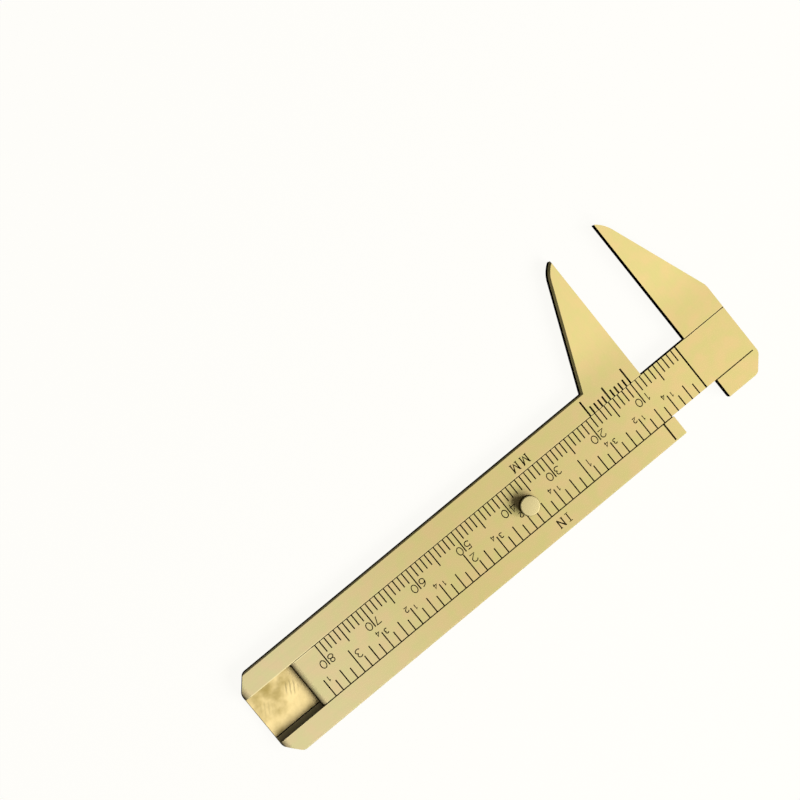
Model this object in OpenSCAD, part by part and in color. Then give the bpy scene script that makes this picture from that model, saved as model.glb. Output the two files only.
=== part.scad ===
// Pocket slide caliper in brass, with a millimetre and an inch scale and a tenth-millimetre vernier.
// X runs along the body towards higher readings, the jaws point to -Y, and the scales face +Z.
// The origin is the middle of the body's back face, on the centre line of the slide.

/* [Range] */
// Longest reading of the millimetre scale
range_mm = 80; // [40:1:150]
// Reading at which the slide is drawn
reading = 9.85; // [0:0.05:40]

/* [Body] */
// Thickness of the body and of the moving head
body_t = 2.5; // [2.3:0.1:4]
// Width of the rail on the jaw side
jaw_rail_w = 3.95; // [3.4:0.05:6]
// Width of the rail on the inch side
inch_rail_w = 3.65; // [3:0.05:6]
// Length of slide that the body still holds at the longest reading
hold_l = 7.3; // [6:0.1:20]
// Length of each cut corner, along the body
corner_l = 2.5; // [1:0.1:4]
// Width of each cut corner, across the body
corner_w = 2.9; // [1:0.1:3]
// Radius where a cut corner runs into its two sides
corner_r = 1.3; // [0.5:0.1:2]
// Radius of the rounded-over far end of the rails
rail_end_r = 1.3; // [0.4:0.1:1.5]
// Width of the filed edges of the body and the head
edge_break = 0.25; // [0.1:0.05:0.4]

/* [Jaws] */
// Reach of the jaws beyond the body's edge
jaw_reach = 21; // [12:0.2:30]
// Width of the fixed jaw at the body's edge
fixed_root_w = 10.2; // [9.5:0.05:14]
// Length of the moving jaw's straight back beyond the body's edge
moving_drop = 0.8; // [0:0.1:6]
// Radius where that straight back turns into the leaning one
moving_bend_r = 3; // [1:0.5:4]
// Width at which the fixed jaw's leaning back would reach the level of the tip
fixed_back_w = 1.2; // [0.8:0.05:3]
// Width at which the moving jaw's leaning back would reach the level of the tip
moving_back_w = 1.05; // [0.6:0.05:3]
// Radius that rounds the back off to the tip
tip_r = 6; // [4:0.5:8]
// Width left at the very tip
tip_w = 0.15; // [0.1:0.05:0.5]
// Width of the bevel filed along the back of the fixed jaw
jaw_bevel = 0.4; // [0.2:0.05:0.6]
// Length of the moving head along the slide
head_l = 8.75; // [6:0.05:9]

/* [Slide] */
// Width of the slide's face
slide_w = 8.9; // [8.5:0.05:14]
// Thickness of the slide
slide_t = 1.5; // [1.3:0.05:1.6]
// Lean of the dovetail flanks, in degrees
flank_lean = 6; // [4:0.5:12]
// Length by which the slide passes the body's far end when the jaws are closed
slide_over = 0.3; // [0:0.1:2]
// Radius of the rounded-over end of the slide
slide_end_r = 1; // [0.4:0.1:1.2]

/* [Friction strip and stop pin] */
// Width of the friction strip
strip_w = 8.05; // [6:0.05:8.2]
// Thickness of the friction strip
strip_t = 0.25; // [0.15:0.05:0.3]
// Distance of the strip's ends from the ends of the body
strip_inset = 0.1; // [0.05:0.05:1]
// Diameter of the stop pin
pin_d = 1.2; // [0.8:0.1:1.6]
// Distance of the stop pin from the fixed jaw's measuring face
pin_from_face = 5; // [4:0.5:5.5]
// Distance of the stop pin from the slide's centre line
pin_off = 2.4; // [2.2:0.1:3]
// Height of the stop pin above the strip
pin_rise = 0.45; // [0.3:0.05:0.6]

/* [Thumb knob] */
// Diameter of the knob
knob_d = 3.55; // [3:0.05:5]
// Height of the knob's rim above the slide
knob_h = 1.7; // [1:0.1:4]
// Rise of the knob's domed top above its rim
knob_dome = 0.05; // [0.03:0.01:0.3]
// Radius of the knob's rounded rim
knob_rim_r = 0.3; // [0.1:0.05:0.5]
// Diameter of the knob's shank
shank_d = 1.6; // [1:0.1:2]
// Diameter of the riveted tail in its countersink
tail_d = 2.2; // [2.1:0.1:2.6]
// Depth of the countersink
tail_h = 0.4; // [0.2:0.05:0.5]
// Distance of the knob from the zero line
knob_x = 36.8; // [20:0.1:38]
// Distance of the knob from the slide's centre line
knob_y = 0.5; // [0:0.1:1]

/* [Scales] */
// Distance of the zero lines from the measuring faces
zero_inset = 2.25; // [1:0.05:4]
// Depth of the engraved lines
line_depth = 0.08; // [0.04:0.01:0.15]
// Width of the lines on the slide
line_w = 0.23; // [0.1:0.01:0.3]
// Width of the vernier lines
vernier_line_w = 0.28; // [0.1:0.01:0.35]
// Length of the 1 mm lines
mm_line = 2.2; // [1:0.1:3]
// Length of the 5 mm lines
mm5_line = 3.25; // [2:0.05:4]
// Length of the 10 mm lines
mm10_line = 4.2; // [3:0.1:4.3]
// Length of the sixteenth-inch lines
in16_line = 2.1; // [1:0.1:2.5]
// Length of the eighth-inch lines
in8_line = 2.95; // [1.5:0.05:3.2]
// Length of the quarter-inch lines
in4_line = 3.35; // [2:0.05:4]
// Length of the inch lines
in1_line = 4.6; // [3:0.1:4.8]
// Plain length between the end of the inch scale and the slide's end
scale_margin = 1.5; // [1:0.1:4]
// Length of the first and last vernier lines
vernier_end_line = 3.1; // [2:0.1:3.3]
// Length of the middle vernier line
vernier_mid_line = 2.6; // [1.5:0.1:3]
// Length of the other vernier lines
vernier_line = 1.4; // [1:0.1:2.5]

/* [Clearances] */
// Gap beside the slide, on the jaw side
jaw_gap = 0.1; // [0.02:0.01:0.15]
// Gap beside the slide, on the inch side
inch_gap = 0.2; // [0.05:0.01:0.3]
// Running gap between the slide and the friction strip
under_gap = 0.03; // [0.02:0.01:0.1]
// Solder film under the slide, where it lies in the moving head
solder_gap = 0.02; // [0.01:0.01:0.05]
// Gap beside the friction strip, on the jaw side of its bed
strip_gap = 0.1; // [0.02:0.01:0.15]
// Gap beside the friction strip, on the inch side of its bed
bed_gap = 0.2; // [0.05:0.05:0.4]
// Gap round the stop pin in the strip and in the slide's groove
pin_gap = 0.1; // [0.05:0.05:0.3]
// Gap round the pressed-in pin and the riveted shank
press_gap = 0.01; // [0.005:0.005:0.02]

/* [Hidden] */
$fn = 64;
inch = 25.4;
vernier_count = 10;
cut_over = 1;
arc_step = 5;
rim_turn = 80;
brass = "#d9c27e";
hard_brass = "#dcc06a";

// Along the body
body_l = range_mm + hold_l;
face_x = -body_l / 2;
far_x = body_l / 2;
head_x = face_x - reading;
head_end_x = head_x - head_l;
slide_l = body_l + slide_over + head_l;
zero_x = head_x + zero_inset;
index_x = face_x + zero_inset;
pin_x = face_x + pin_from_face;
inch_sixteenths = 4 * floor(4 * (body_l + slide_over - zero_inset - scale_margin) / inch);

// Across the body
slide_lo = -slide_w / 2;
slide_hi = slide_w / 2;
slot_lo = slide_lo - jaw_gap;
slot_hi = slide_hi + inch_gap;
body_lo = slot_lo - jaw_rail_w;
body_hi = slot_hi + inch_rail_w;
strip_lo = slot_lo + strip_gap;
bed_hi = strip_lo + strip_w + bed_gap;

// Through the thickness
slide_z = body_t - slide_t;
ledge_z = slide_z - under_gap;
bed_z = ledge_z - strip_t;
groove_h = pin_rise - under_gap + pin_gap;
pin_r = pin_d / 2;

// Sideways run of a leaning flank over a height
function flank_run(height) = height * tan(flank_lean);

// Points of an arc about a centre, between two angles
function arc(centre, r, from, to) =
    let (steps = ceil(abs(to - from) / arc_step))
    [for (k = [0:steps]) let (angle = from + (to - from) * k / steps) centre + r * [cos(angle), sin(angle)]];

// Rounded stretch at a corner of an outline, between the points before and after it
function rounded(before, corner, after, r) =
    let (
        a = (before - corner) / norm(before - corner),
        b = (after - corner) / norm(after - corner),
        half = acos(a * b) / 2,
        middle = (a + b) / norm(a + b),
        centre = corner + middle * r / sin(half),
        start = corner + a * r / tan(half) - centre,
        end = corner + b * r / tan(half) - centre,
        from = atan2(start.y, start.x),
        turn = atan2(end.y, end.x) - from
    )
    arc(centre, r, from, from + (turn > 180 ? turn - 360 : turn < -180 ? turn + 360 : turn));

// Cut corner from one side of a plate to the next, with both its ends rounded
function cut_corner(before, first, second, after) =
    concat(rounded(before, first, second, corner_r), rounded(first, second, after, corner_r));

// A jaw has its measuring face on x = 0 and the body's edge on y = 0, and points to -y.
// Its back leans from the root towards a width of back_w at the tip, and an arc rounds it off to the tip.
function jaw_back(root, back_w) =
    let (
        lean = atan2(root.x - back_w, root.y + jaw_reach),
        along = [-sin(lean), -cos(lean)],
        inward = [-cos(lean), sin(lean)],
        tip = [tip_w, -jaw_reach],
        depth = (tip - root) * inward,
        run = (tip - root) * along - sqrt(2 * tip_r * depth - depth * depth),
        centre = root + along * run + inward * tip_r,
        end = tip - centre
    )
    arc(centre, tip_r, -lean, atan2(end.y, end.x));

// Outline of a jaw, with the corner at its root rounded by bend_r or left sharp
module jaw_outline(root, back_w, bend_r) {
    back = jaw_back(root, back_w);
    top = [root.x, jaw_rail_w / 2];
    polygon(concat(
        [[0, -jaw_reach], [0, top.y], top],
        bend_r > 0 ? rounded(top, root, back[0], bend_r) : [root],
        back
    ));
}

// Waste of the bevel filed along a jaw's back: a cut for the straight part and one for each step of the arc
module bevel_waste(root, back_w) {
    points = concat([root], jaw_back(root, back_w));
    past_end = 2 * jaw_bevel;
    for (k = [1:len(points) - 1]) {
        run = points[k] - points[k - 1];
        translate(points[k - 1]) rotate([0, 0, atan2(run.y, run.x)])
            along_x(-past_end, norm(run) + past_end) polygon([
                [-jaw_bevel - cut_over, body_t + cut_over], [cut_over, body_t + cut_over],
                [cut_over, body_t - jaw_bevel - cut_over]
            ]);
    }
}

module along_x(from, to) {
    translate([from, 0, 0]) rotate([90, 0, 90]) linear_extrude(to - from) children();
}

// Section of the bar that the body and the head are cut from, with its filed edges
module bar_section() {
    polygon([
        [body_lo, edge_break], [body_lo + edge_break, 0], [body_hi - edge_break, 0], [body_hi, edge_break],
        [body_hi, body_t - edge_break], [body_hi - edge_break, body_t],
        [body_lo + edge_break, body_t], [body_lo, body_t - edge_break]
    ]);
}

// Section of the dovetail channel around the slide, down to a floor and cut past the face above it
module channel_section(floor_z) {
    down = flank_run(body_t - floor_z);
    up = flank_run(cut_over);
    polygon([
        [slot_lo - down, floor_z], [slot_hi + down, floor_z],
        [slot_hi - up, body_t + cut_over], [slot_lo + up, body_t + cut_over]
    ]);
}

// Waste taken off to round over an upper edge that lies across the slide, on its +X side
module end_waste(x, r, top) {
    difference() {
        translate([x - r, body_lo - cut_over, top - r])
            cube([r + cut_over, body_hi - body_lo + 2 * cut_over, r + cut_over]);
        translate([x - r, body_lo - 2 * cut_over, top - r])
            rotate([-90, 0, 0]) cylinder(r = r, h = body_hi - body_lo + 4 * cut_over);
    }
}

// One engraved line across the slide, from y0 to y1
module line(x, y0, y1, w) {
    translate([x - w / 2, y0, body_t - line_depth]) cube([w, y1 - y0, line_depth + cut_over]);
}

module body_plate() {
    intersection() {
        along_x(face_x, far_x) bar_section();
        translate([0, 0, -cut_over]) linear_extrude(body_t + 2 * cut_over) polygon(concat(
            [[face_x, body_lo]],
            cut_corner([face_x, body_lo], [far_x - corner_l, body_lo],
                       [far_x, body_lo + corner_w], [far_x, 0]),
            cut_corner([far_x, 0], [far_x, body_hi - corner_w],
                       [far_x - corner_l, body_hi], [face_x, body_hi]),
            [[face_x, body_hi]]
        ));
    }
}

module fixed_jaw() {
    root = [fixed_root_w, 0];
    translate([face_x, body_lo, 0]) difference() {
        linear_extrude(body_t) jaw_outline(root, fixed_back_w, 0);
        bevel_waste(root, fixed_back_w);
    }
}

// Vernier on the jaw-side rail and the index line for inches on the other rail
module body_lines() {
    pitch = (vernier_count - 1) / vernier_count;
    for (k = [0:vernier_count]) {
        length = k % vernier_count == 0 ? vernier_end_line
            : k * 2 == vernier_count ? vernier_mid_line : vernier_line;
        line(index_x + k * pitch, slot_lo - length, slot_lo + cut_over, vernier_line_w);
    }
    line(index_x, slot_hi - cut_over, body_hi + cut_over, vernier_line_w);
}

// Flat bar with a dovetail channel, a bed for the friction strip, and the fixed jaw in one piece
module body() {
    color(brass) difference() {
        union() {
            body_plate();
            fixed_jaw();
        }
        along_x(face_x - cut_over, far_x + cut_over) channel_section(ledge_z);
        translate([face_x - cut_over, slot_lo, bed_z])
            cube([body_l + 2 * cut_over, bed_hi - slot_lo, strip_t + cut_over / 2]);
        translate([pin_x, -pin_off, -cut_over]) cylinder(r = pin_r + press_gap, h = body_t);
        end_waste(far_x, rail_end_r, body_t);
        body_lines();
    }
}

// Hard brass strip that lies in the bed and drags on the slide
module friction_strip() {
    color(hard_brass) difference() {
        translate([face_x + strip_inset, strip_lo, bed_z])
            cube([body_l - 2 * strip_inset, strip_w, strip_t]);
        translate([pin_x, -pin_off, bed_z - cut_over])
            cylinder(r = pin_r + pin_gap, h = strip_t + 2 * cut_over);
    }
}

// Pin through the channel floor that ends the slide's travel
module stop_pin() {
    color(brass) translate([pin_x, -pin_off, 0]) cylinder(r = pin_r, h = ledge_z + pin_rise);
}

// Millimetre lines along the jaw side and inch lines along the other edge, with one zero line across
module slide_lines() {
    line(zero_x, slide_lo - cut_over, slide_hi + cut_over, line_w);
    for (k = [1:range_mm]) {
        length = k % 10 == 0 ? mm10_line : k % 5 == 0 ? mm5_line : mm_line;
        line(zero_x + k, slide_lo - cut_over, slide_lo + length, line_w);
    }
    for (k = [1:inch_sixteenths]) {
        length = k % 16 == 0 ? in1_line : k % 4 == 0 ? in4_line : k % 2 == 0 ? in8_line : in16_line;
        line(zero_x + k * inch / 16, slide_hi - length, slide_hi + cut_over, line_w);
    }
}

// Groove under the slide for the stop pin, closed where the pin stands at the two ends of the travel
module pin_groove() {
    first_x = head_x + pin_from_face;
    last_x = first_x + range_mm;
    for (x = [first_x, last_x])
        translate([x, -pin_off, slide_z - cut_over]) cylinder(r = pin_r + pin_gap, h = groove_h + cut_over);
    translate([first_x, -pin_off - pin_r - pin_gap, slide_z - cut_over])
        cube([last_x - first_x, pin_d + 2 * pin_gap, groove_h + cut_over]);
}

module knob_hole() {
    translate([zero_x + knob_x, knob_y, slide_z]) {
        translate([0, 0, -cut_over]) cylinder(r = shank_d / 2 + press_gap, h = slide_t + 2 * cut_over);
        cylinder(r1 = tail_d / 2 + press_gap, r2 = shank_d / 2 + press_gap, h = tail_h);
    }
}

// Graduated bar with dovetail flanks
module slide_bar() {
    down = flank_run(slide_t);
    end_x = head_end_x + slide_l;
    color(brass) difference() {
        along_x(head_end_x, end_x) polygon([
            [slide_lo - down, slide_z], [slide_hi + down, slide_z], [slide_hi, body_t], [slide_lo, body_t]
        ]);
        end_waste(end_x, slide_end_r, body_t);
        slide_lines();
        pin_groove();
        knob_hole();
    }
}

// Moving jaw and its foot: a short length of the body's channelled bar, soldered under the slide's end.
// The jaw's back runs on straight from the head's end before it leans in.
module moving_head() {
    color(brass) difference() {
        union() {
            intersection() {
                along_x(head_end_x, head_x) bar_section();
                translate([0, 0, -cut_over]) linear_extrude(body_t + 2 * cut_over) polygon(concat(
                    [[head_end_x, body_lo], [head_x, body_lo], [head_x, body_hi]],
                    cut_corner([head_x, body_hi], [head_end_x + corner_l, body_hi],
                               [head_end_x, body_hi - corner_w], [head_end_x, body_lo])
                ));
            }
            translate([head_x, body_lo, 0]) mirror([1, 0, 0]) linear_extrude(body_t)
                jaw_outline([head_l, -moving_drop], moving_back_w, moving_bend_r);
        }
        along_x(head_end_x - cut_over, head_x + cut_over) channel_section(slide_z - solder_gap);
    }
}

// Turned button: domed top with a rounded rim, and a shank riveted into a countersink under the slide
module thumb_knob() {
    r = knob_d / 2;
    color(brass) translate([zero_x + knob_x, knob_y, 0]) rotate_extrude() polygon(concat(
        [[0, slide_z], [tail_d / 2, slide_z], [shank_d / 2, slide_z + tail_h]],
        [[shank_d / 2, body_t], [r, body_t]],
        arc([r - knob_rim_r, body_t + knob_h - knob_rim_r], knob_rim_r, 0, rim_turn),
        [for (k = [4:-1:0]) [(r - knob_rim_r) * k / 5, body_t + knob_h + knob_dome * (1 - pow(k / 5, 2))]]
    ));
}

body();
friction_strip();
stop_pin();
slide_bar();
moving_head();
thumb_knob();
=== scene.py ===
import bpy
import numpy as np
from mathutils import Matrix, Vector


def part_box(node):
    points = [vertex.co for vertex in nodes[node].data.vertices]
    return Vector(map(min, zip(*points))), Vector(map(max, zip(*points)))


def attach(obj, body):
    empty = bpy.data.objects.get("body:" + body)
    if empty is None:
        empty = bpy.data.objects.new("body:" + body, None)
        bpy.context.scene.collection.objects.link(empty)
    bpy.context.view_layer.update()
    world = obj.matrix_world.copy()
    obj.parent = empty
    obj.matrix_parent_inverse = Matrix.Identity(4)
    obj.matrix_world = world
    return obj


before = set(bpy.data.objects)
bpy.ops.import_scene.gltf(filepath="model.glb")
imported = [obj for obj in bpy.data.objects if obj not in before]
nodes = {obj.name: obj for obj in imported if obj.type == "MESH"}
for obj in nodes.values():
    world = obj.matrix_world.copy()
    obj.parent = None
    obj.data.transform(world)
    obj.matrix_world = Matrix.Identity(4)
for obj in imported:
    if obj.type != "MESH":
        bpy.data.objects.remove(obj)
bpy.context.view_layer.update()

scene = bpy.context.scene
scene.view_settings.view_transform = "Standard"

# Camera: a stills camera with a long lens, almost straight above the tool and turned so that the tool
# lies across the picture with its jaws up. Its place and lens come from the scale's 81 lines in the photo.
MM = 0.001
CAMERA_AT = Vector((29.6, -58.12, 422.36)) * MM
CAMERA_AIM = Vector((-8.666, -27.41, 2.494)) * MM
CAMERA_UP = Vector((-0.63126, -0.77557, 0.00058))
LENS_MM = 112.2
SENSOR_MM = 36
CLIP_START = 0.01


def facing(place, aim, up):
    """Pose of a camera or lamp: its -Z runs from place to aim, and its Y lies as near to up as it can."""
    back = (place - aim).normalized()
    right = up.cross(back).normalized()
    turn = Matrix((right, back.cross(right), back)).transposed().to_4x4()
    return Matrix.Translation(place) @ turn


camera = bpy.data.objects.new("camera", bpy.data.cameras.new("camera"))
camera.data.lens = LENS_MM
camera.data.sensor_width = SENSOR_MM
camera.data.clip_start = CLIP_START
camera.matrix_world = facing(CAMERA_AT, CAMERA_AIM, CAMERA_UP)
scene.collection.objects.link(camera)
scene.camera = camera

# Floor: a wide sheet of matt board that the tool lies on. It keeps the tool's soft shadow, and a glow of
# its own lifts it to the white of the photo's background.
FLOOR_HALF = 1.5
FLOOR_DROP = 0.02 * MM
FLOOR_GREY = "#3c3b3a"
FLOOR_WHITE = "#fffefa"
FLOOR_GLOW = 0.95


def linear(code):
    """Linear RGBA of an sRGB hex colour: c / 12.92 below 0.04045, otherwise ((c + 0.055) / 1.055) ^ 2.4."""
    c = np.array([int(code[k:k + 2], 16) for k in (1, 3, 5)]) / 255
    return (*np.where(c <= 0.04045, c / 12.92, ((c + 0.055) / 1.055) ** 2.4).tolist(), 1.0)


def add(tree, kind, inputs=None, **settings):
    """Adds a node to a tree: settings are its properties, inputs are values or the sockets linked to it.
    A Mix node takes its share at 0 and two numbers at 2 and 3, two vectors at 4 and 5 or two colours at 6 and
    7, and gives the result at output 0, 1 or 2."""
    node = tree.nodes.new(kind)
    for name, value in settings.items():
        setattr(node, name, value)
    for socket, value in (inputs or {}).items():
        if isinstance(value, bpy.types.NodeSocket):
            tree.links.new(value, node.inputs[socket])
        else:
            node.inputs[socket].default_value = value
    return node


def new_material(name):
    """An empty node material and its node tree."""
    material = bpy.data.materials.new(name)
    material.use_nodes = True
    material.node_tree.nodes.clear()
    return material, material.node_tree


def new_piece(name, points, faces, material):
    """A mesh object at the origin from arrays of points and a list of faces."""
    mesh = bpy.data.meshes.new(name)
    mesh.from_pydata(points.tolist(), [], faces)
    mesh.materials.append(material)
    piece = bpy.data.objects.new(name, mesh)
    scene.collection.objects.link(piece)
    return piece


board, tree = new_material("matt_white_board")
light_path = add(tree, "ShaderNodeLightPath")
seen = add(tree, "ShaderNodeMath", {0: light_path.outputs["Is Camera Ray"],
                                    1: light_path.outputs["Is Glossy Ray"]}, operation="MAXIMUM")
seen = add(tree, "ShaderNodeMath", {0: seen.outputs[0],
                                    1: light_path.outputs["Is Transmission Ray"]}, operation="MAXIMUM")
glow = add(tree, "ShaderNodeMath", {0: seen.outputs[0], 1: FLOOR_GLOW}, operation="MULTIPLY")
paper = add(tree, "ShaderNodeBsdfDiffuse", {"Color": linear(FLOOR_GREY)})
lift = add(tree, "ShaderNodeEmission", {"Color": linear(FLOOR_WHITE), "Strength": glow.outputs[0]})
both = add(tree, "ShaderNodeAddShader", {0: paper.outputs[0], 1: lift.outputs[0]})
add(tree, "ShaderNodeOutputMaterial", {"Surface": both.outputs[0]})
corners = np.array([(-1, -1, 0), (1, -1, 0), (1, 1, 0), (-1, 1, 0)]) * FLOOR_HALF - (0, 0, FLOOR_DROP)
new_piece("floor", corners, [(0, 1, 2, 3)], board)

# Light: one long softbox beyond the inch side of the tool, rather low, so that the knob throws its shadow
# towards the jaws and the far end, and a dim room that is lighter overhead and on the softbox's side.
KEY_AIM = Vector((-10, -5, 2)) * MM
KEY_TOWARDS = Vector((-0.4, 0.68, 0.6))
KEY_DISTANCE = 0.9
KEY_LONG = 0.9
KEY_SHORT = 0.4
KEY_WATTS = 15.7
ROOM_AXIS = (-0.3, 0.5, 0.8)
ROOM_DARK = "#3f3e3c"
ROOM_LIGHT = "#767471"
ROOM_DARK_AT = -0.3
ROOM_LIGHT_AT = 0.9

lamp = bpy.data.lights.new("softbox", "AREA")
lamp.shape = "RECTANGLE"
lamp.size = KEY_LONG
lamp.size_y = KEY_SHORT
lamp.energy = KEY_WATTS
softbox = bpy.data.objects.new("softbox", lamp)
softbox.matrix_world = facing(KEY_AIM + KEY_TOWARDS.normalized() * KEY_DISTANCE, KEY_AIM, Vector((0, 0, 1)))
scene.collection.objects.link(softbox)

room = bpy.data.worlds.new("studio")
room.use_nodes = True
room.node_tree.nodes.clear()
tree = room.node_tree
direction = add(tree, "ShaderNodeTexCoord")
towards = add(tree, "ShaderNodeVectorMath", {0: direction.outputs["Generated"], 1: ROOM_AXIS},
              operation="DOT_PRODUCT")
share = add(tree, "ShaderNodeMapRange", {"Value": towards.outputs["Value"], "From Min": ROOM_DARK_AT,
                                         "From Max": ROOM_LIGHT_AT}, interpolation_type="SMOOTHSTEP")
tone = add(tree, "ShaderNodeMix", {0: share.outputs["Result"], 6: linear(ROOM_DARK), 7: linear(ROOM_LIGHT)},
           data_type="RGBA")
backdrop = add(tree, "ShaderNodeBackground", {"Color": tone.outputs[2], "Strength": 1.0})
add(tree, "ShaderNodeOutputWorld", {"Surface": backdrop.outputs[0]})
scene.world = room

# Body: a flat brass bar with a dovetail channel milled along its face and the fixed jaw in one piece with
# it. The faces are rubbed down satin and kept bright by handling. The filed edges are a dull oxide, painted
# near black so that it also stands in for the shade on the sides.
HANDLED = "#cec086"
# Painted light: the tints below make the brass lighter on the jaws, towards the head and at the far end.
JAW_PAINTED_LIGHT = "#e8d996"
JAW_PAINTED_LIGHT_FROM = -7 * MM
JAW_PAINTED_LIGHT_TO = -17 * MM
HEAD_END_PAINTED_LIGHT = "#dac98a"
NEAR_FROM = -30 * MM
NEAR_TO = -52 * MM
FAR_END_PAINTED_LIGHT = "#ded3a8"
FAR_FROM = -4 * MM
FAR_TO = 42 * MM
OLIVE = "#c4c074"
PINK = "#dfbf92"
DRIFT = 0.3
DRIFT_MM = 2.6
# Steep faces: a dull oxide with painted shade, near black.
OXIDE_AND_SHADE = "#120d06"
OXIDE_ROUGHNESS = 0.9
LEVEL = 0.85
STEEP = 0.4
BARE_LEAST = 0.45
BARE_MOST = 0.65
SATIN = 0.78
SATIN_SPREAD = 0.03
GRAIN_LONG_MM = 9
GRAIN_WIDE_MM = 0.35
GRAIN_MM = 0.0012
GRAIN_DARK = 0.975
GRAIN_LIGHT = 1.02
JAW_ROOT = -8.5 * MM
SPECK = "#9c8a55"
SPECK_MM = 9
SPECK_OUT = 0.03
SPECK_IN = 0.012
SPECK_SHARE = 0.6
# Painted highlight: a pale line along the jaw-side mouth of the channel, where that edge faces the softbox,
# growing towards the far end.
MOUTH_PAINTED_HIGHLIGHT = "#fff2c0"
MOUTH_HIGHLIGHT_NEAR = 0.08 * MM
MOUTH_HIGHLIGHT_OUT = 0.26 * MM
MOUTH_Y = -4.5 * MM
MOUTH_HIGHLIGHT_FROM = 22 * MM
MOUTH_HIGHLIGHT_TO = 34 * MM
MOUTH_HIGHLIGHT_LEAST = 0.15
MOUTH_HIGHLIGHT_MOST = 0.8


def end_brass(tree, colour, metallic, roughness, height, relief_mm, oxide_and_shade):
    """Ends a brass material. metallic is the share of light that bare metal sends back, the rest coming from
    a thin matt tarnish. Both turn to the oxide colour with the slope of the face, a dull oxide painted dark
    enough to stand in for the shade on the sides too: none of it while |normal z| is over LEVEL, all of it
    under STEEP. The height, from 0 to 1, raises the surface by up to relief_mm."""
    slope = add(tree, "ShaderNodeSeparateXYZ", {0: add(tree, "ShaderNodeTexCoord").outputs["Normal"]})
    level = add(tree, "ShaderNodeMath", {0: slope.outputs["Z"]}, operation="ABSOLUTE")
    # Oxide with painted shade: the steeper the face, the more of it.
    oxide_and_shade_share = add(tree, "ShaderNodeMapRange", {"Value": level.outputs[0], "From Min": LEVEL, "From Max": STEEP},
                interpolation_type="SMOOTHSTEP")
    bare = add(tree, "ShaderNodeMapRange", {"Value": oxide_and_shade_share.outputs["Result"], "To Min": metallic,
                                            "To Max": 0.0})
    dull = add(tree, "ShaderNodeMix", {0: oxide_and_shade_share.outputs["Result"], 2: roughness, 3: OXIDE_ROUGHNESS})
    colour = add(tree, "ShaderNodeMix", {0: oxide_and_shade_share.outputs["Result"], 6: colour, 7: linear(oxide_and_shade)},
                 data_type="RGBA")
    relief = add(tree, "ShaderNodeBump", {"Height": height, "Strength": 1.0, "Distance": relief_mm * MM})
    metal = add(tree, "ShaderNodeBsdfPrincipled", {"Base Color": colour.outputs[2],
                                                   "Metallic": bare.outputs["Result"],
                                                   "Roughness": dull.outputs[0],
                                                   "Specular IOR Level": 0.0,
                                                   "Normal": relief.outputs[0]})
    add(tree, "ShaderNodeOutputMaterial", {"Surface": metal.outputs[0]})


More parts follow.
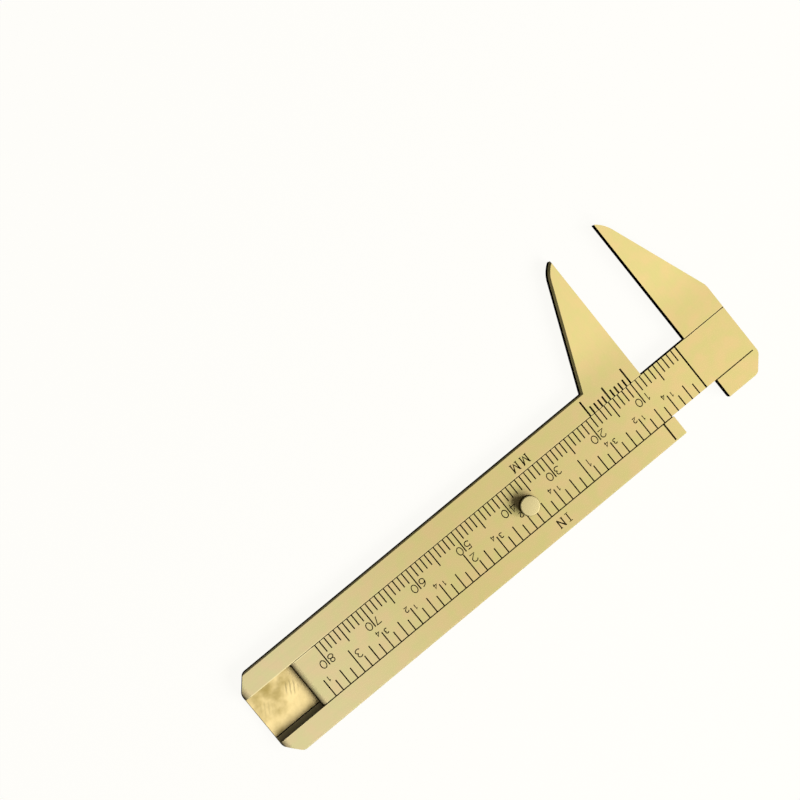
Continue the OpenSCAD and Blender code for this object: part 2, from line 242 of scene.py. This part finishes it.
def rubbed_brass(name):
    """Brass rubbed down satin, then handled. To the eye it has a broad, soft sheen and no clear reflection,
    because a thin tarnish takes about half of the light, more in some patches than in others. It has one tint
    along the bar, with painted light on it: lighter towards the head, lighter still on the jaws and paler at
    the far end. It has slow drifts towards olive and pink, a few specks, and a painted highlight along the
    edge of the channel's mouth on the jaw side, strongest towards the far end. The streaks of the rubbing run
    along the bar or the jaw, drawn coarser than real grit leaves them, so that they show."""
    material, tree = new_material(name)
    place = add(tree, "ShaderNodeTexCoord").outputs["Object"]
    parts = add(tree, "ShaderNodeSeparateXYZ", {0: place})
    # Painted light: lighter towards the head, on the jaws and at the far end.
    near = add(tree, "ShaderNodeMapRange", {"Value": parts.outputs["X"], "From Min": NEAR_FROM,
                                            "From Max": NEAR_TO}, interpolation_type="SMOOTHSTEP")
    jaw_light = add(tree, "ShaderNodeMapRange", {"Value": parts.outputs["Y"], "From Min": JAW_PAINTED_LIGHT_FROM,
                                              "From Max": JAW_PAINTED_LIGHT_TO}, interpolation_type="SMOOTHSTEP")
    far = add(tree, "ShaderNodeMapRange", {"Value": parts.outputs["X"], "From Min": FAR_FROM,
                                           "From Max": FAR_TO}, interpolation_type="SMOOTHSTEP")
    colour = add(tree, "ShaderNodeMix", {0: near.outputs["Result"], 6: linear(HANDLED),
                                         7: linear(HEAD_END_PAINTED_LIGHT)}, data_type="RGBA")
    colour = add(tree, "ShaderNodeMix", {0: jaw_light.outputs["Result"], 6: colour.outputs[2],
                                         7: linear(JAW_PAINTED_LIGHT)}, data_type="RGBA")
    colour = add(tree, "ShaderNodeMix", {0: far.outputs["Result"], 6: colour.outputs[2],
                                         7: linear(FAR_END_PAINTED_LIGHT)}, data_type="RGBA")
    slow = add(tree, "ShaderNodeTexNoise", {"Vector": place, "Scale": 1000 / DRIFT_MM, "Detail": 2.0})
    hue = add(tree, "ShaderNodeMapRange", {"Value": slow.outputs["Fac"], "From Min": 0.35, "From Max": 0.65})
    drift = add(tree, "ShaderNodeMix", {0: hue.outputs["Result"], 6: linear(OLIVE), 7: linear(PINK)},
                data_type="RGBA")
    colour = add(tree, "ShaderNodeMix", {0: DRIFT, 6: colour.outputs[2], 7: drift.outputs[2]},
                 data_type="RGBA")
    swapped = add(tree, "ShaderNodeCombineXYZ", {0: parts.outputs["Y"], 1: parts.outputs["X"],
                                                 2: parts.outputs["Z"]})
    on_jaw = add(tree, "ShaderNodeMath", {0: parts.outputs["Y"], 1: JAW_ROOT}, operation="LESS_THAN")
    run = add(tree, "ShaderNodeMix", {0: on_jaw.outputs[0], 4: place, 5: swapped.outputs[0]},
              data_type="VECTOR")
    grain = add(tree, "ShaderNodeMapping", {"Vector": run.outputs[1],
                                            "Scale": (1000 / GRAIN_LONG_MM, 1000 / GRAIN_WIDE_MM,
                                                      1000 / GRAIN_WIDE_MM)})
    streaks = add(tree, "ShaderNodeTexNoise", {"Vector": grain.outputs[0], "Scale": 1.0, "Detail": 3.0})
    streak = add(tree, "ShaderNodeMapRange", {"Value": streaks.outputs["Fac"], "From Min": 0.3,
                                              "From Max": 0.7, "To Min": GRAIN_DARK, "To Max": GRAIN_LIGHT})
    colour = add(tree, "ShaderNodeVectorMath", {0: colour.outputs[2], "Scale": streak.outputs["Result"]},
                 operation="SCALE")
    pits = add(tree, "ShaderNodeTexVoronoi", {"Vector": place, "Scale": 1000 / SPECK_MM})
    pit = add(tree, "ShaderNodeMapRange", {"Value": pits.outputs["Distance"], "From Min": SPECK_OUT,
                                           "From Max": SPECK_IN, "To Max": SPECK_SHARE},
              interpolation_type="SMOOTHSTEP")
    colour = add(tree, "ShaderNodeMix", {0: pit.outputs["Result"], 6: colour.outputs[0], 7: linear(SPECK)},
                 data_type="RGBA")
    # Painted highlight along the channel's mouth on the jaw side; worn below only sets its strength along the
    # bar.
    mouth = add(tree, "ShaderNodeMath", {0: parts.outputs["Y"], 1: MOUTH_Y}, operation="SUBTRACT")
    from_mouth = add(tree, "ShaderNodeMath", {0: mouth.outputs[0]}, operation="ABSOLUTE")
    near_mouth_edge = add(tree, "ShaderNodeMapRange", {"Value": from_mouth.outputs[0], "From Min": MOUTH_HIGHLIGHT_OUT,
                                              "From Max": MOUTH_HIGHLIGHT_NEAR})
    worn = add(tree, "ShaderNodeMapRange", {"Value": parts.outputs["X"], "From Min": MOUTH_HIGHLIGHT_FROM,
                                            "From Max": MOUTH_HIGHLIGHT_TO, "To Min": MOUTH_HIGHLIGHT_LEAST, "To Max": MOUTH_HIGHLIGHT_MOST})
    mouth_highlight = add(tree, "ShaderNodeMath", {0: near_mouth_edge.outputs["Result"], 1: worn.outputs["Result"]},
                 operation="MULTIPLY")
    colour = add(tree, "ShaderNodeMix", {0: mouth_highlight.outputs[0], 6: colour.outputs[2], 7: linear(MOUTH_PAINTED_HIGHLIGHT)},
                 data_type="RGBA")
    satin = add(tree, "ShaderNodeMapRange", {"Value": streaks.outputs["Fac"], "From Min": 0.3,
                                             "From Max": 0.7, "To Min": SATIN - SATIN_SPREAD,
                                             "To Max": SATIN + SATIN_SPREAD})
    bare = add(tree, "ShaderNodeMapRange", {"Value": hue.outputs["Result"], "To Min": BARE_LEAST,
                                            "To Max": BARE_MOST})
    end_brass(tree, colour.outputs[2], bare.outputs["Result"], satin.outputs["Result"],
              streaks.outputs["Fac"], GRAIN_MM, OXIDE_AND_SHADE)
    return material


nodes["body"].data.materials[0] = rubbed_brass("rubbed_brass_body")

# Friction strip: thin hard brass as it came from the rolls, laid in the bed of the channel. The slide has
# left it a little wavy and stained, and two groups of slanting strokes show where it was scraped flat.
# Strip colour: its own yellow, painted lighter to make up for the shade of the rails and the slide's end.
STRIP_SKIN_AND_LIGHT = "#f9e4a8"
STRIP_STAIN = "#b8a35e"
STRIP_BARE = 0.6
STRIP_ROUGHNESS = 0.72
STAIN_MM = 3.4
STAIN_THIN = 0.46
STAIN_FULL = 0.92
STAINED_AT = Vector((39.9, -3.0, 0.97)) * MM
STAINED_REACH = 3.2 * MM
STAINED_MORE = 0.22
JAW_SIDE_FROM = 1.5 * MM
JAW_SIDE_TO = -4 * MM
JAW_SIDE_MORE = 0.16
WAVE_MM = 0.12
STROKE_MM = 0.34
STROKE_TURN = np.radians(30)
STROKE_DARK = 0.72
STROKE_DEPTH = -0.1
STROKES_AT = [Vector((36.3, -1.4, 0.97)) * MM, Vector((41.9, -1.2, 0.97)) * MM]
STROKES_STRENGTH = [1.0, 0.35]
STROKES_REACH = 1.6 * MM

# Rolled brass has a close, even skin, so to the eye it is the yellowest of the brasses here, clouded where
# the stain lies. Its colour is also painted lighter, to make up for the shade that the rails and the slide's
# end throw into the channel. A Wave texture's bands are pi / 10 apart at scale 1, and a stroke and the gap
# beside it make one band, each of them STROKE_MM wide.
rolled, tree = new_material("rolled_hard_brass")
place = add(tree, "ShaderNodeTexCoord").outputs["Object"]
clouds = add(tree, "ShaderNodeTexNoise", {"Vector": place, "Scale": 1000 / STAIN_MM, "Detail": 3.0,
                                          "Roughness": 0.5})
away = add(tree, "ShaderNodeVectorMath", {0: place, 1: STAINED_AT}, operation="DISTANCE")
settled = add(tree, "ShaderNodeMapRange", {"Value": away.outputs["Value"], "From Min": STAINED_REACH,
                                           "From Max": 0.0, "To Max": STAINED_MORE},
              interpolation_type="SMOOTHSTEP")
side = add(tree, "ShaderNodeSeparateXYZ", {0: place})
jaw_side = add(tree, "ShaderNodeMapRange", {"Value": side.outputs["Y"], "From Min": JAW_SIDE_FROM,
                                            "From Max": JAW_SIDE_TO, "To Max": JAW_SIDE_MORE})
soiled = add(tree, "ShaderNodeMath", {0: settled.outputs["Result"], 1: jaw_side.outputs["Result"]},
             operation="ADD")
cloudy = add(tree, "ShaderNodeMath", {0: clouds.outputs["Fac"], 1: soiled.outputs[0]}, operation="ADD")
stain = add(tree, "ShaderNodeMapRange", {"Value": cloudy.outputs[0], "From Min": STAIN_THIN,
                                         "From Max": STAIN_FULL}, interpolation_type="SMOOTHSTEP")
colour = add(tree, "ShaderNodeMix", {0: stain.outputs["Result"], 6: linear(STRIP_SKIN_AND_LIGHT),
                                     7: linear(STRIP_STAIN)}, data_type="RGBA")
slanted = add(tree, "ShaderNodeMapping", {"Vector": place, "Rotation": (0, 0, STROKE_TURN)})
strokes = add(tree, "ShaderNodeTexWave", {"Vector": slanted.outputs[0],
                                          "Scale": 1000 / STROKE_MM / 20 * np.pi,
                                          "Distortion": 1.2, "Detail": 2.0, "Detail Scale": 3.0})
line = add(tree, "ShaderNodeMapRange", {"Value": strokes.outputs["Fac"], "From Min": 0.45, "From Max": 0.95})
near = []
for centre, strength in zip(STROKES_AT, STROKES_STRENGTH):
    away = add(tree, "ShaderNodeVectorMath", {0: place, 1: centre}, operation="DISTANCE")
    near.append(add(tree, "ShaderNodeMapRange", {"Value": away.outputs["Value"], "From Min": STROKES_REACH,
                                                 "From Max": STROKES_REACH / 2, "To Max": strength},
                    interpolation_type="SMOOTHSTEP"))
scraped = add(tree, "ShaderNodeMath", {0: near[0].outputs["Result"], 1: near[1].outputs["Result"]},
              operation="MAXIMUM")
stroke = add(tree, "ShaderNodeMath", {0: line.outputs["Result"], 1: scraped.outputs[0]}, operation="MULTIPLY")
tone = add(tree, "ShaderNodeMapRange", {"Value": stroke.outputs[0], "To Min": 1.0, "To Max": STROKE_DARK})
colour = add(tree, "ShaderNodeVectorMath", {0: colour.outputs[2], "Scale": tone.outputs["Result"]},
             operation="SCALE")
wavy = add(tree, "ShaderNodeMath", {0: stroke.outputs[0], 1: STROKE_DEPTH, 2: clouds.outputs["Fac"]},
           operation="MULTIPLY_ADD")
end_brass(tree, colour.outputs[0], STRIP_BARE, STRIP_ROUGHNESS, wavy.outputs[0], WAVE_MM, OXIDE_AND_SHADE)
nodes["friction_strip"].data.materials[0] = rolled

# Stop pin: a short length of brass rod, turned to length and pressed through the channel's floor. It stands
# in the groove under the slide, out of reach of thumbs, and has kept the finish of the lathe.
TURNED = "#d8cc9c"
TURNED_DULL = "#ccbe8a"
TURNED_BARE = 0.6
RING_MM = 0.12
RING_RELIEF_MM = 0.002
PIN_ROUGHNESS = 0.5


def turned_brass(name, centre, roughness, oxide_and_shade):
    """Brass turned in the lathe: to the eye, fine rings about the axis through centre, in height and tint.
    They are noise along the distance from the axis, drawn coarser than a tool leaves them, so that they
    show."""
    material, tree = new_material(name)
    place = add(tree, "ShaderNodeTexCoord").outputs["Object"]
    out = add(tree, "ShaderNodeVectorMath", {0: place, 1: (*centre, 0)}, operation="SUBTRACT")
    flat = add(tree, "ShaderNodeVectorMath", {0: out.outputs[0], 1: (1, 1, 0)}, operation="MULTIPLY")
    radius = add(tree, "ShaderNodeVectorMath", {0: flat.outputs[0]}, operation="LENGTH")
    rings = add(tree, "ShaderNodeTexNoise", {"W": radius.outputs["Value"], "Scale": 1000 / RING_MM,
                                             "Detail": 2.0}, noise_dimensions="1D")
    colour = add(tree, "ShaderNodeMix", {0: rings.outputs["Fac"], 6: linear(TURNED), 7: linear(TURNED_DULL)},
                 data_type="RGBA")
    end_brass(tree, colour.outputs[2], TURNED_BARE, roughness, rings.outputs["Fac"], RING_RELIEF_MM, oxide_and_shade)
    return material


def middle(node):
    """Middle of a node's box, in the plane of the scale."""
    low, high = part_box(node)
    return ((low.x + high.x) / 2, (low.y + high.y) / 2)


nodes["stop_pin"].data.materials[0] = turned_brass("turned_brass_pin", middle("stop_pin"), PIN_ROUGHNESS,
                                                   OXIDE_AND_SHADE)

# Slide bar: drawn brass with dovetail flanks, rubbed down lengthwise before its lines were engraved. It runs
# in the body's channel, with a little play on both sides.
nodes["slide_bar"].data.materials[0] = rubbed_brass("rubbed_brass_slide")

# Moving head: the moving jaw and its foot, cut from the same bar as the body and finished like it. The
# slide's end lies in the channel of the foot and is soldered there.
nodes["moving_head"].data.materials[0] = rubbed_brass("rubbed_brass_head")

# Thumb knob: a button turned from brass rod, riveted through the slide. Thumbs keep its top bright, and its
# side is a dark olive: dull oxide with painted shade on it.
KNOB_OXIDE_AND_SHADE = "#4d4426"
KNOB_ROUGHNESS = 0.78
nodes["thumb_knob"].data.materials[0] = turned_brass("turned_brass_knob", middle("thumb_knob"),
                                                     KNOB_ROUGHNESS, KNOB_OXIDE_AND_SHADE)

# Ink of the slide's scales: black wax rubbed into the engraved lines and wiped off, brown where it has worn
# thin. Each line lies in its groove a hair below the face, and only the wide zero line stands a hair proud.
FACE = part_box("slide_bar")[1].z
HEAD_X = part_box("moving_head")[1].x
ZERO_X = HEAD_X + 2.25 * MM
SLIDE_EDGE = 4.45 * MM
INCH = 25.4 * MM
LINE_HALF = (0.23 / 2 - 0.002) * MM
ZERO_HALF = 0.15 * MM
GROOVE_LOW = FACE - 0.078 * MM
INK_LEVEL = FACE - 0.006 * MM
PROUD = FACE + 0.003 * MM
MM_LINES = np.array([2.2, 3.25, 4.2]) * MM
INCH_LINES = np.array([2.1, 2.95, 3.35, 4.6]) * MM
WAX_MM = 1.5
WAX_ROUGHNESS = 0.9
LEAST_COSINE = 0.6


def strips(paths, half_width, low, high):
    """Closed strips, one for each path on the face: a profile of four corners carried along the path. At each
    point it stands across the mean direction of the steps before and after, from height low to height high.
    To either side it reaches half_width over the cosine of half the turn, which counts as LEAST_COSINE at
    least. A path that ends where it starts is a loop."""
    points, faces, count = [], [], 0
    ring = np.arange(4)
    turn = (ring + 1) % 4
    for path in paths:
        path = np.asarray(path, float)
        loop = len(path) > 3 and np.allclose(path[0], path[-1])
        step = np.diff(path, axis=0)
        step /= np.linalg.norm(step, axis=1, keepdims=True)
        before = np.vstack([step[-1:] if loop else step[:1], step])
        after = np.vstack([step, step[:1] if loop else step[-1:]])
        across = before + after
        across /= np.linalg.norm(across, axis=1, keepdims=True)
        reach = half_width / np.maximum((across * after).sum(1, keepdims=True), LEAST_COSINE)
        side = np.stack([-across[:, 1], across[:, 0]], 1) * reach
        left, right = path + side, path - side
        foot, head = np.full(len(path), low), np.full(len(path), high)
        section = np.stack([np.c_[left, foot], np.c_[right, foot], np.c_[right, head], np.c_[left, head]], 1)
        start = count + 4 * np.arange(len(path) - 1)[:, None]
        walls = np.stack([start + ring, start + 4 + ring, start + 4 + turn, start + turn], 2).reshape(-1, 4)
        faces += walls.tolist()
        if not loop:
            last = count + 4 * (len(path) - 1)
            faces += [(count + ring).tolist(), (last + ring[::-1]).tolist()]
        points.append(section.reshape(-1, 3))
        count += 4 * len(path)
    return np.vstack(points), faces


def joined(first, second):
    """One mesh from two: the points of both in turn, and the second's faces counted on from the first's."""
    return np.vstack([first[0], second[0]]), first[1] + (np.array(second[1]) + len(first[0])).tolist()


def scale_lines(x, y0, y1):
    """Straight paths across the slide at the places x, from y0 to y1."""
    x, y0, y1 = np.broadcast_arrays(x, y0, y1)
    return np.stack([np.stack([x, y0], 1), np.stack([x, y1], 1)], 1)


def wax(name, full, thin):
    """Wax that has set dull in an engraved mark. To the eye it is black with no sheen: its full colour, and a
    browner one in patches of about WAX_MM where it is thin."""
    material, tree = new_material(name)
    place = add(tree, "ShaderNodeTexCoord").outputs["Object"]
    worn = add(tree, "ShaderNodeTexNoise", {"Vector": place, "Scale": 1000 / WAX_MM, "Detail": 3.0})
    share = add(tree, "ShaderNodeMapRange", {"Value": worn.outputs["Fac"], "From Min": 0.45,
                                             "From Max": 0.75})
    colour = add(tree, "ShaderNodeMix", {0: share.outputs["Result"], 6: linear(full), 7: linear(thin)},
                 data_type="RGBA")
    filling = add(tree, "ShaderNodeBsdfPrincipled", {"Base Color": colour.outputs[2],
                                                     "Roughness": WAX_ROUGHNESS, "Specular IOR Level": 0.0})
    add(tree, "ShaderNodeOutputMaterial", {"Surface": filling.outputs[0]})
    return material


black_wax = wax("black_engraving_wax", "#040301", "#1f170a")
millimetre = np.arange(1, 81)
length = MM_LINES[(millimetre % 5 == 0).astype(int) + (millimetre % 10 == 0)]
mm_paths = scale_lines(ZERO_X + millimetre * MM, -SLIDE_EDGE, -SLIDE_EDGE + length)
sixteenth = np.arange(1, 53)
length = INCH_LINES[(sixteenth % 2 == 0).astype(int) + (sixteenth % 4 == 0) + (sixteenth % 16 == 0)]
inch_paths = scale_lines(ZERO_X + sixteenth * INCH / 16, SLIDE_EDGE - length, SLIDE_EDGE)
zero_path = scale_lines(np.array([ZERO_X]), -SLIDE_EDGE, SLIDE_EDGE)
points, faces = joined(strips(np.concatenate([mm_paths, inch_paths]), LINE_HALF, GROOVE_LOW, INK_LEVEL),
                       strips(zero_path, ZERO_HALF, GROOVE_LOW, PROUD))
slide_ink = new_piece("scale_lines", points, faces, black_wax)
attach(slide_ink, "slide")

# Figures of the scales: cut with a single fine point, then filled with browner wax. Tens of millimetres
# stand on both sides of their lines, quarters of an inch too but smaller, and whole inches before theirs.
FIGURE_HALF = 0.086 * MM
FIGURE_LOW = FACE - 0.02 * MM
FIGURE_MIDDLE = 0.36
ARC_STEP = 15
TEN_ASIDE = 0.88 * MM
TEN_FOOT = -1.68 * MM
TEN_HIGH = 1.4 * MM
WHOLE_ASIDE = 1.18 * MM
WHOLE_FOOT = 0.68 * MM
WHOLE_HIGH = 1.42 * MM
UPPER_ASIDE = 0.8 * MM
UPPER_FOOT = 1.0 * MM
LOWER_ASIDE = 0.68 * MM
LOWER_FOOT = 0.47 * MM
QUARTER_HIGH = 0.88 * MM
QUARTERS = {1: "14", 2: "12", 3: "34"}
LAST_QUARTER = 13
FIGURES = {
    "0": [[(0.36, 0.5, 0.36, 0.5, 90, 450)]],
    "1": [[(0.14, 0.76), (0.36, 1), (0.36, 0)]],
    "2": [[(0.36, 0.69, 0.33, 0.31, 165, -40), (0.02, 0), (0.72, 0)]],
    "3": [[(0.35, 0.76, 0.3, 0.24, 155, -90), (0.35, 0.26, 0.35, 0.26, 90, -150)]],
    "4": [[(0.55, 0), (0.55, 1), (0, 0.3), (0.74, 0.3)]],
    "5": [[(0.66, 1), (0.16, 1), (0.09, 0.55), (0.35, 0.33, 0.35, 0.33, 132, -150)]],
    "6": [[(0.62, 0.36, 0.59, 0.64, 92, 172), (0.36, 0.32, 0.33, 0.32, 180, -180)]],
    "7": [[(0.03, 1), (0.7, 1), (0.28, 0)]],
    "8": [[(0.36, 0.76, 0.27, 0.24, -90, 270)], [(0.36, 0.26, 0.34, 0.26, 90, 450)]],
}


def trace(strokes):
    """Paths of a figure one unit high: a pair is a corner, and six numbers are an arc of an ellipse given by
    its centre, its two radii and the angles in degrees where it starts and ends."""
    paths = []
    for stroke in strokes:
        run = []
        for item in stroke:
            if len(item) == 2:
                run.append(np.array([item], float))
            else:
                cx, cy, rx, ry, start, end = item
                turn = np.radians(np.linspace(start, end, int(abs(end - start) / ARC_STEP) + 1))
                run.append(np.stack([cx + rx * np.cos(turn), cy + ry * np.sin(turn)], 1))
        paths.append(np.concatenate(run))
    return paths


def figure(character, x, y, height):
    """Paths of a figure with its middle at x and its foot at y."""
    return [(path - (FIGURE_MIDDLE, 0)) * height + (x, y) for path in trace(FIGURES[character])]


figure_paths = []
for ten in range(1, 9):
    x = ZERO_X + 10 * ten * MM
    figure_paths += figure(str(ten), x - TEN_ASIDE, TEN_FOOT, TEN_HIGH)
    figure_paths += figure("0", x + TEN_ASIDE, TEN_FOOT, TEN_HIGH)
for quarter in range(1, LAST_QUARTER + 1):
    x = ZERO_X + quarter * INCH / 4
    whole, part = divmod(quarter, 4)
    if part == 0:
        figure_paths += figure(str(whole), x - WHOLE_ASIDE, WHOLE_FOOT, WHOLE_HIGH)
        continue
    upper, lower = QUARTERS[part]
    figure_paths += figure(upper, x - UPPER_ASIDE, UPPER_FOOT, QUARTER_HIGH)
    if quarter < LAST_QUARTER:
        figure_paths += figure(lower, x + LOWER_ASIDE, LOWER_FOOT, QUARTER_HIGH)
points, faces = strips(figure_paths, FIGURE_HALF, FIGURE_LOW, PROUD)
brown_wax = wax("brown_engraving_wax", "#171106", "#352a11")
figures = new_piece("scale_figures", points, faces, brown_wax)
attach(figures, "slide")

# Ink of the body's lines: the vernier on the jaw-side rail, whose ten parts take up nine millimetres, and the
# index for inches across the other rail. The wax stands a hair proud and spreads over the edges of the lines.
INDEX_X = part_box("body")[0].x + 2.25 * MM
INDEX_SHORT = 0.27 * MM
RAIL_EDGES = (-4.55 * MM, 4.65 * MM)
BODY_TOP_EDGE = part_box("body")[1].y
VERNIER_PART = 0.9 * MM
VERNIER_LINES = np.array([1.4, 2.6, 3.1]) * MM
VERNIER_HALF = 0.16 * MM
tenth = np.arange(11)
length = VERNIER_LINES[(tenth % 5 == 0).astype(int) + (tenth % 10 == 0)]
vernier_paths = scale_lines(INDEX_X + VERNIER_PART * tenth, RAIL_EDGES[0] - length, RAIL_EDGES[0])
index_path = scale_lines(np.array([INDEX_X]), RAIL_EDGES[1], BODY_TOP_EDGE - INDEX_SHORT)
points, faces = strips(np.concatenate([vernier_paths, index_path]), VERNIER_HALF, GROOVE_LOW, PROUD)
vernier_ink = new_piece("vernier_lines", points, faces, black_wax)
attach(vernier_ink, "body")

# Unit marks: MM on the jaw-side rail and IN on the other, struck with letter punches and filled with the
# same brown wax. Each letter is a few strokes, stems wider than the serifs.
STEM_HALF = 0.11 * MM
SERIF_HALF = 0.06 * MM
LETTER_GAP = 0.55 * MM
LETTER_HEIGHT = 1.55 * MM
MM_MARK_AT = (-17.8 * MM, -6.8 * MM)
IN_MARK_AT = (-17.55 * MM, 5.62 * MM)
LETTERS = {
    "M": (1.0, [[(0.14, 0), (0.14, 1)], [(0.86, 0), (0.86, 1)], [(0.14, 1), (0.5, 0.12), (0.86, 1)]],
          [[(0, 0), (0.3, 0)], [(0.7, 0), (1, 0)], [(0, 1), (0.16, 1)], [(0.84, 1), (1, 1)]]),
    "I": (0.44, [[(0.22, 0), (0.22, 1)]], [[(0, 0), (0.44, 0)], [(0, 1), (0.44, 1)]]),
    "N": (0.9, [[(0.14, 0), (0.14, 1)], [(0.14, 1), (0.76, 0)], [(0.76, 0), (0.76, 1)]],
          [[(0, 0), (0.3, 0)], [(0, 1), (0.16, 1)], [(0.62, 1), (0.9, 1)]]),
}


def mark(text, x, y):
    """Stem and serif paths of a mark with its middle at x and its foot at y. A letter is its width, its stems
    and its serifs, one unit high."""
    wide = sum(LETTERS[letter][0] for letter in text) * LETTER_HEIGHT + LETTER_GAP * (len(text) - 1)
    left, stems, serifs = x - wide / 2, [], []
    for letter in text:
        width, stem, serif = LETTERS[letter]
        stems += [np.array(path) * LETTER_HEIGHT + (left, y) for path in stem]
        serifs += [np.array(path) * LETTER_HEIGHT + (left, y) for path in serif]
        left += width * LETTER_HEIGHT + LETTER_GAP
    return stems, serifs


stems, serifs = (a + b for a, b in zip(mark("MM", *MM_MARK_AT), mark("IN", *IN_MARK_AT)))
points, faces = joined(strips(stems, STEM_HALF, FIGURE_LOW, PROUD),
                       strips(serifs, SERIF_HALF, FIGURE_LOW, PROUD))
unit_marks = new_piece("unit_marks", points, faces, brown_wax)
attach(unit_marks, "body")

# Solder: hard solder, a brass itself, that holds the slide's end in the moving head. A film of it lies under
# the slide, and it has run up the seam on the jaw side, where it stands a hair proud, blackened by fire scale
# and painted darker still as the shade in the seam.
HEAD_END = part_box("moving_head")[0].x
SEAM_LOW = FACE - 0.3 * MM
SEAM_HALF = 0.08 * MM
FILM_HALF = 4.6 * MM
FILM_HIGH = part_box("slide_bar")[0].z - 0.002 * MM
FILM_LOW = FILM_HIGH - 0.016 * MM
SCALE_BLACK_AND_SHADE = "#0d0a05"
SCALE_BROWN = "#261e0f"
SCALE_MM = 1.2
SCALE_ROUGHNESS = 0.6
# Scaled solder is a rough dark metal: to the eye it is nearly black, mottled brown, with a faint sheen. Its
# black also stands in for the seam's shade.
solder, tree = new_material("scaled_solder_and_shade")
place = add(tree, "ShaderNodeTexCoord").outputs["Object"]
mottle = add(tree, "ShaderNodeTexNoise", {"Vector": place, "Scale": 1000 / SCALE_MM, "Detail": 3.0})
colour = add(tree, "ShaderNodeMix", {0: mottle.outputs["Fac"], 6: linear(SCALE_BLACK_AND_SHADE),
                                     7: linear(SCALE_BROWN)}, data_type="RGBA")
metal = add(tree, "ShaderNodeBsdfPrincipled", {"Base Color": colour.outputs[2], "Metallic": 1.0,
                                               "Roughness": SCALE_ROUGHNESS})
add(tree, "ShaderNodeOutputMaterial", {"Surface": metal.outputs[0]})
seam_y = (-SLIDE_EDGE + RAIL_EDGES[0]) / 2
points, faces = joined(strips([[(HEAD_END, seam_y), (HEAD_X, seam_y)]], SEAM_HALF, SEAM_LOW, PROUD),
                       strips([[(HEAD_END, 0), (HEAD_X, 0)]], FILM_HALF, FILM_LOW, FILM_HIGH))
solder_seam = new_piece("solder_seam", points, faces, solder)
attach(solder_seam, "slide")

# Solder fillet: a bead of the same solder that closes the end of the seam on the inch side. It was rubbed
# down with the head's face, so it shows the brass that it is.
FILLET_LONG = 0.65 * MM
FILLET_WIDE = 0.196 * MM
FILLET_LOW = FACE - 0.05 * MM
FILLET_HIGH = FACE - 0.004 * MM
fillet_y = SLIDE_EDGE + FILLET_WIDE / 2
points, faces = strips([[(HEAD_END, fillet_y), (HEAD_END + FILLET_LONG, fillet_y)]], FILLET_WIDE / 2,
                       FILLET_LOW, FILLET_HIGH)
solder_fillet = new_piece("solder_fillet", points, faces, rubbed_brass("rubbed_hard_solder"))
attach(solder_fillet, "slide")

# Gap shade: near-black strips in the gap between the friction strip and the wall of its bed, and in the gap
# along the slide's jaw-side edge beyond the vernier. They are painted shade for these gaps, dull and shaded
# like the wax.
STRIP_LOW, STRIP_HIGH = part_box("friction_strip")
BED_EDGE = 3.8 * MM
GAP_SHADE_CLEAR = 0.002 * MM
GAP_SHADE_SUNK = 0.03 * MM
painted_gap_shade = wax("black_gap_shade", "#070502", "#1f170a")
# Painted shade in the bed's gap.
bed_shade_y = (STRIP_HIGH.y + BED_EDGE) / 2
bed_shade_half = (BED_EDGE - STRIP_HIGH.y) / 2 - GAP_SHADE_CLEAR
points, faces = strips([[(STRIP_LOW.x, bed_shade_y), (STRIP_HIGH.x, bed_shade_y)]], bed_shade_half, STRIP_LOW.z + GAP_SHADE_CLEAR,
                       STRIP_HIGH.z - GAP_SHADE_SUNK)
bed_gap_shade = new_piece("bed_gap_shade", points, faces, painted_gap_shade)
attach(bed_gap_shade, "body")

# Painted shade in the gap along the slide's jaw-side edge, beyond the vernier.
JAW_GAP_SHADE_Y = -4.472 * MM
JAW_GAP_SHADE_HALF = 0.07 * MM
JAW_GAP_SHADE_START = -32.1 * MM
JAW_GAP_SHADE_END = 29.5 * MM
points, faces = strips([[(JAW_GAP_SHADE_START, JAW_GAP_SHADE_Y), (JAW_GAP_SHADE_END, JAW_GAP_SHADE_Y)]], JAW_GAP_SHADE_HALF, SEAM_LOW,
                       PROUD)
jaw_gap_shade = new_piece("jaw_gap_shade", points, faces, painted_gap_shade)
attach(jaw_gap_shade, "slide")
